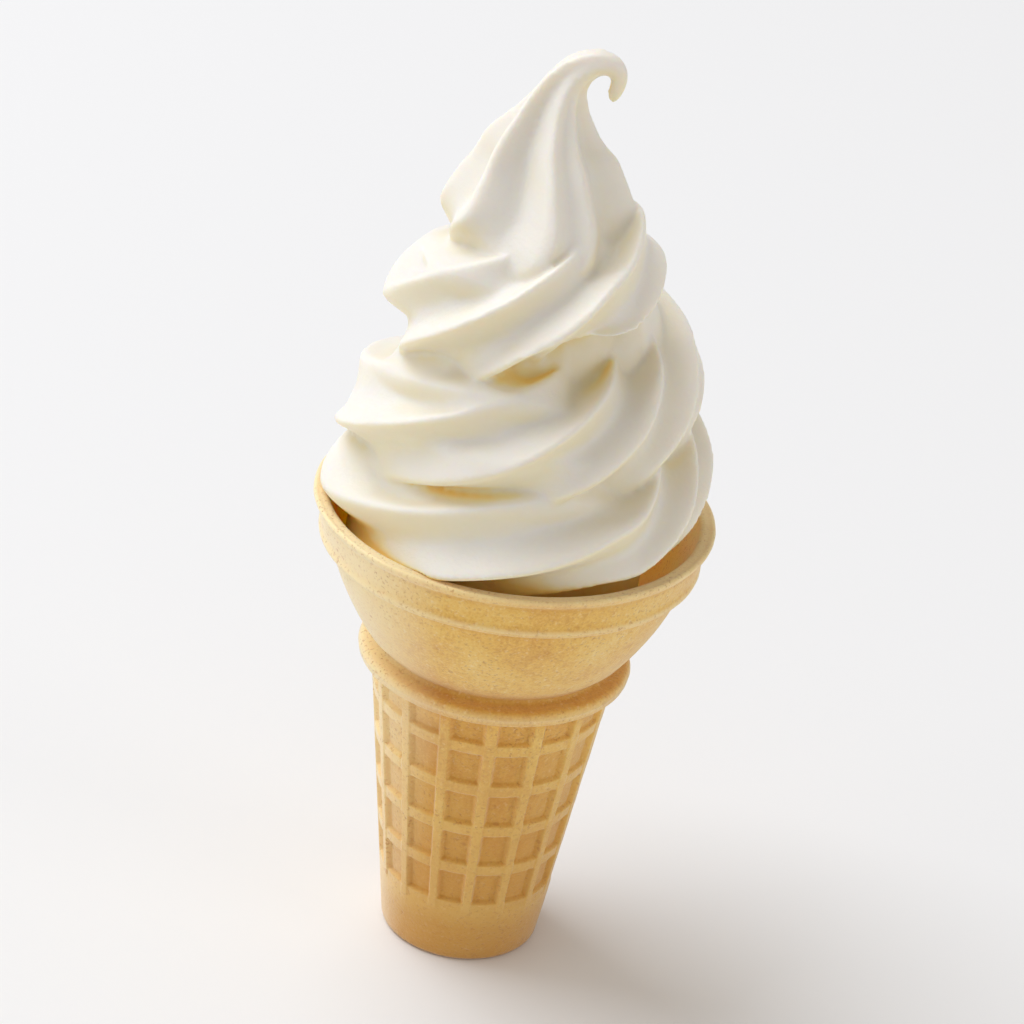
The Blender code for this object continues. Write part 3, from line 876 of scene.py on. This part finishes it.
def ropeCoil():
    rows = rope["winding"]
    start, end = rows[0][0], rows[-1][0]
    count = round((end - start) / rope["step"]) + 1
    spots, outwards = [], []
    kept = {name: [] for name in ("outer", "inner", "tall", "turn", "under", "droop", "side", "top")}
    for i in range(count):
        at = start + (end - start) * i / (count - 1)
        radius, height, turn, thick, wide, *others = smoothRows(rows, at)
        if i in (0, count - 1):
            thick = 0.0       # closes the rope's ends
        azimuth = math.radians(at)
        outward = Vector((math.cos(azimuth), math.sin(azimuth), 0.0))
        spots.append(outward * radius * mm + Vector((0.0, 0.0, rimHeight + height * mm)))
        outwards += list(outward)
        halfWidth, halfHeight = rope["halfWidth"] * thick, rope["halfHeight"] * thick
        inner = min(halfWidth, (radius - rope["axisMargin"]) * min(1.0, thick * rope["quickEnd"]))
        sizes = (halfWidth * wide * mm, inner * mm, halfHeight * mm)
        for name, value in zip(kept, (*sizes, turn, *others)):
            kept[name].append(value)
    mesh = bpy.data.meshes.new("rope_line")
    mesh.from_pydata([tuple(spot) for spot in spots], [(i, i + 1) for i in range(count - 1)], [])
    mesh.attributes.new("outward", "FLOAT_VECTOR", "POINT").data.foreach_set("vector", outwards)
    for name, values in kept.items():
        mesh.attributes.new(name, "FLOAT", "POINT").data.foreach_set("value", values)
    made = newObject("rope", mesh)
    return applyTree(made, sweepTree(), {
        "Ridges": rope["ridges"], "Groove": rope["groove"], "Blunt": rope["blunt"],
        "Blunt Depth": rope["bluntDepth"], "Around": rope["around"], "Finish": creamMaterial})


def peakLoft():
    ridges, line = peak["ridges"], peak["line"]
    rings = (len(line) - 1) * peak["steps"] + 1
    verts = []
    for i in range(rings):
        at = i / peak["steps"]
        lean, forward, height, radius, turn, strength, tilt, bulge = smoothRows(line, at)
        ahead, behind = (smoothRows(line, at + step) for step in (0.01, -0.01))
        along = Vector((ahead[0] - behind[0], 0.0, ahead[2] - behind[2])).normalized()
        front = Vector((0.0, -1.0, 0.0))
        right = along.cross(front)
        middle = Vector((lean * mm, -forward * mm, rimHeight + height * mm))
        reaches = [radius + bulge] + [radius] * len(ridges)
        reaches[-1] = reaches[0]
        for k, ridge in enumerate(ridges):
            gap = (ridges[(k + 1) % len(ridges)] - ridge) % 360
            for step in range(peak["between"]):
                share = step / peak["between"]
                flat = math.cos(math.radians(gap / 2)) / math.cos(math.radians(gap * (share - 0.5)))
                valley = 1.0 - abs(2.0 * share - 1.0) ** peak["valley"]
                sink = 1.0 - peak["groove"] * valley * min(gap / peak["usualGap"], peak["deepest"])
                angle = math.radians(ridge + turn + gap * share)
                reach = (reaches[k] + (reaches[k + 1] - reaches[k]) * ease(share)) * mm
                blunt = max(peak["blunt"] - min(share, 1.0 - share), 0.0) ** 2 / peak["blunt"]
                reach *= 1.0 - strength * (1.0 - flat * sink + peak["bluntDepth"] * blunt)
                toward = max(math.cos(angle - peak["tiltToward"]), 0.0)
                rise = Vector((0.0, 0.0, tilt * mm * toward ** 2))
                verts.append(middle + rise + (right * math.sin(angle) + front * math.cos(angle)) * reach)
    count = len(ridges) * peak["between"]
    faces = ringFaces(rings, count)
    capEnds(verts, faces, rings, count)
    return newObject("peak", meshFrom("peak", verts, faces))


def filling():
    # what the rope closes over: it follows the winding a little way out of its middle
    count = mass["columns"]
    low, (high, tipReach, tipRise) = mass["plugFoot"][0][0], mass["fillTop"]
    levels = [low + (high - low) * k / (mass["levels"] - 1) for k in range(mass["levels"])]
    bearings = [rope["winding"][0][0] + 360.0 * i / count for i in range(count)]
    sides = []
    for at in bearings:
        lean = math.cos(math.radians(at - mass["plugToward"]))
        rows = list(mass["plugFoot"])
        rows.append(tuple(base + lean * more for base, more in zip(mass["plugTop"], mass["plugLean"])))
        while at <= mass["lastTurn"]:
            radius, height = smoothRows(rope["winding"], at)[:2]
            if height > mass["fillFrom"]:
                reach = radius + mass["fillReach"]
                beside, above = (reach - np.interp(at, *zip(*mass[name])) for name in ("drawn", "waist"))
                rows += [(height, beside), (height + mass["waistRise"], above)]
            at += 360.0
        rows.append((max(rows[-1][0] + tipRise, high), tipReach))
        sides.append(np.interp(levels, *zip(*rows)))
    verts = []
    for k, level in enumerate(levels):
        for azimuth, side in zip(map(math.radians, bearings), sides):
            reach = side[k] * mm
            verts.append(Vector((reach * math.cos(azimuth), reach * math.sin(azimuth),
                                 rimHeight + level * mm)))
    faces = ringFaces(len(levels), count)
    capEnds(verts, faces, len(levels), count)
    return newObject("filling", meshFrom("filling", verts, faces))


def outerShell(target):
    # keeps the largest of the separate shells, which is the outside
    shape = bmesh.new()
    shape.from_mesh(target.data)
    unseen = set(shape.verts)
    shells = []
    while unseen:
        shell = [unseen.pop()]
        for vert in shell:
            for edge in vert.link_edges:
                other = edge.other_vert(vert)
                if other in unseen:
                    unseen.remove(other)
                    shell.append(other)
        shells.append(shell)
    shells.sort(key=len)
    for shell in shells[:-1]:
        bmesh.ops.delete(shape, geom=shell, context="VERTS")
    shape.to_mesh(target.data)
    shape.free()


def settleInCup(points):
    # keeps what lies below the lip just inside the cup's wall
    rows = [(-drop * mm, radius * mm) for radius, drop in cup["inside"][::-1] + mass["mouth"]]
    height = points[:, 2] - rimHeight
    reach = np.hypot(points[:, 0], points[:, 1])
    limit = np.interp(height, *zip(*rows)) + mass["clearance"]
    over = (height < 0.0) & (reach > limit)
    share = np.where(over, limit / np.maximum(reach, 1e-9), 1.0)
    points[:, :2] *= share[:, None]
    return points


def readVectors(values, name):
    flat = np.empty(len(values) * 3)
    values.foreach_get(name, flat)
    return flat.reshape(-1, 3)


def shutness(mesh, cupMesh):
    # how much of the sky near each point is hidden by the rest of the swirl and the cup's wall, for the
    # cream's painted shade
    count = len(mesh.vertices)
    spots, normals = readVectors(mesh.vertices, "co"), readVectors(mesh.vertex_normals, "vector")
    corners = [tuple(spot) for spot in spots] + [tuple(vert.co) for vert in cupMesh.vertices]
    sides = [tuple(face.vertices) for face in mesh.polygons]
    sides += [tuple(count + vert for vert in face.vertices) for face in cupMesh.polygons]
    tree = BVHTree.FromPolygons(corners, sides)
    rays, farthest = mass["rays"], mass["rayReach"]
    golden = math.pi * (3.0 - math.sqrt(5.0))
    directions = []
    for k in range(rays):
        up = math.sqrt((k + 0.5) / rays)
        ring = math.sqrt(1.0 - up * up)
        directions.append((ring * math.cos(k * golden), ring * math.sin(k * golden), up))
    shut = np.zeros(count)
    for i in range(count):
        normal = Vector(normals[i])
        side = normal.orthogonal().normalized()
        other = normal.cross(side)
        start = Vector(spots[i]) + normal * mass["rayStart"]
        for x, y, up in directions:
            hit = tree.ray_cast(start, side * x + other * y + normal * up, farthest)
            if hit[0] is not None:
                shut[i] += 1.0 - mass["farShare"] * hit[3] / farthest
    return shut / rays


def spread(mesh, values, rounds):
    # smooths values over the mesh, each point with its neighbours
    edges = np.empty(len(mesh.edges) * 2, dtype=np.int64)
    mesh.edges.foreach_get("vertices", edges)
    a, b = edges.reshape(-1, 2).T
    share = np.bincount(a, minlength=len(values)) + np.bincount(b, minlength=len(values))
    for _ in range(rounds):
        near = np.bincount(a, values[b], len(values)) + np.bincount(b, values[a], len(values))
        values = 0.5 * values + 0.5 * near / share
    return values


def softServe():
    whole = joinPieces("soft_serve_swirl", [filling(), ropeCoil(), peakLoft()])
    fuse = whole.modifiers.new("fuse", "REMESH")
    fuse.mode = "VOXEL"
    fuse.voxel_size = mass["voxel"]
    soften = whole.modifiers.new("soften", "SMOOTH")
    soften.factor = mass["softenFactor"]
    soften.iterations = mass["soften"]
    bake(whole)
    outerShell(whole)
    deep = whole.vertex_groups.new(name="deep")
    level = rimHeight - mass["deepBelow"]
    deep.add([vert.index for vert in whole.data.vertices if vert.co.z < level], 1.0, "REPLACE")
    hidden = sum(1 for face in whole.data.polygons if face.center.z < level)
    fewer = whole.modifiers.new("fewer", "DECIMATE")
    fewer.vertex_group = "deep"
    fewer.ratio = 1.0 - (1.0 - mass["hiddenShare"]) * hidden / len(whole.data.polygons)
    bake(whole)
    whole.vertex_groups.clear()
    mesh = whole.data
    points = settleInCup(readVectors(mesh.vertices, "co"))
    uneven = np.array([noise.noise(Vector(point) * mass["unevenNoise"]) for point in points])
    away = points.copy()
    away[:, 2] = 0.0
    away /= np.maximum(np.linalg.norm(away, axis=1), 1e-6)[:, None]
    fade = np.clip((points[:, 2] - rimHeight) / mass["fadeIn"], 0.0, 1.0)
    points += away * (uneven * fade * mass["unevenness"])[:, None]
    mesh.vertices.foreach_set("co", points.ravel())
    mesh.update()
    # the hidden share, which the cream's finish paints as shade
    shut = spread(mesh, shutness(mesh, waferPiece.data), mass["shadeRounds"])
    mesh.attributes.new("shut", "FLOAT", "POINT").data.foreach_set("value", shut.astype(np.float32))
    mesh.materials.clear()
    mesh.materials.append(creamMaterial)
    mesh.shade_smooth()
    return whole


swirlPiece = softServe()
print("soft serve made:", len(swirlPiece.data.polygons), "faces")

# what the pieces stand for

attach(waferPiece, "root")
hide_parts("wafer_cone")
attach(swirlPiece, "root")
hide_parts("soft_serve")

# studio

studio = {
    "floor": (0.852, 0.852, 0.864),
    "floorSize": 4.0,
    "floorShader": {"Roughness": 0.6, "Specular IOR Level": 0.2},
    "sky": 0.475,
    "skyColour": (1.0, 0.965, 0.92),
    "lens": 123.05,
    "cameraPlace": (-0.0004, -0.5835, 0.39744),
    "lookDown": 27.63,
    "roll": 7.83,
    # name: place, aimed at, size across, watts, colour
    "lights": {
        "key": ((-1.9, 0.9, 3.3), (0.0, 0.0, 0.11), 3.0, 119.0, (0.93, 0.96, 1.0)),
        "side": ((-2.1, -0.8, 0.5), (0.0, 0.0, 0.07), 1.2, 8.5, (1.0, 0.96, 0.88)),
        "fill": ((1.7, -0.6, 0.35), (0.0, 0.0, 0.07), 0.8, 5.5, (1.0, 0.93, 0.80)),
    },
}


def floorPlane():
    half = studio["floorSize"] / 2
    level = cadBox[0].z
    mesh = meshFrom("floor", [(-half, -half, level), (half, -half, level), (half, half, level),
                              (-half, half, level)], [(0, 1, 2, 3)])
    made = newObject("floor", mesh)
    material, _, shader = newMaterial("white_sweep")
    shader.inputs["Base Color"].default_value = (*studio["floor"], 1.0)
    setShader(shader, studio["floorShader"])
    mesh.materials.append(material)


def studioLights():
    world = bpy.data.worlds.new("studio")
    bpy.context.scene.world = world
    world.use_nodes = True
    sky = world.node_tree.nodes["Background"]
    sky.inputs["Color"].default_value = (*studio["skyColour"], 1.0)
    sky.inputs["Strength"].default_value = studio["sky"]
    for name, (place, aim, size, watts, colour) in studio["lights"].items():
        lamp = bpy.data.lights.new(name, "AREA")
        lamp.size = size
        lamp.energy = watts
        lamp.color = colour
        made = bpy.data.objects.new(name, lamp)
        bpy.context.scene.collection.objects.link(made)
        made.location = place
        made.rotation_euler = (Vector(aim) - Vector(place)).to_track_quat("-Z", "Y").to_euler()


def studioCamera():
    data = bpy.data.cameras.new("camera")
    data.lens = studio["lens"]
    made = bpy.data.objects.new("camera", data)
    bpy.context.scene.collection.objects.link(made)
    tilt = Matrix.Rotation(math.radians(90.0 - studio["lookDown"]), 4, "X")
    roll = Matrix.Rotation(math.radians(studio["roll"]), 4, "Z")
    made.matrix_world = Matrix.Translation(studio["cameraPlace"]) @ tilt @ roll
    bpy.context.scene.camera = made


floorPlane()
studioLights()
studioCamera()
bpy.context.scene.view_settings.view_transform = "Standard"
bpy.context.view_layer.update()
print("studio made")
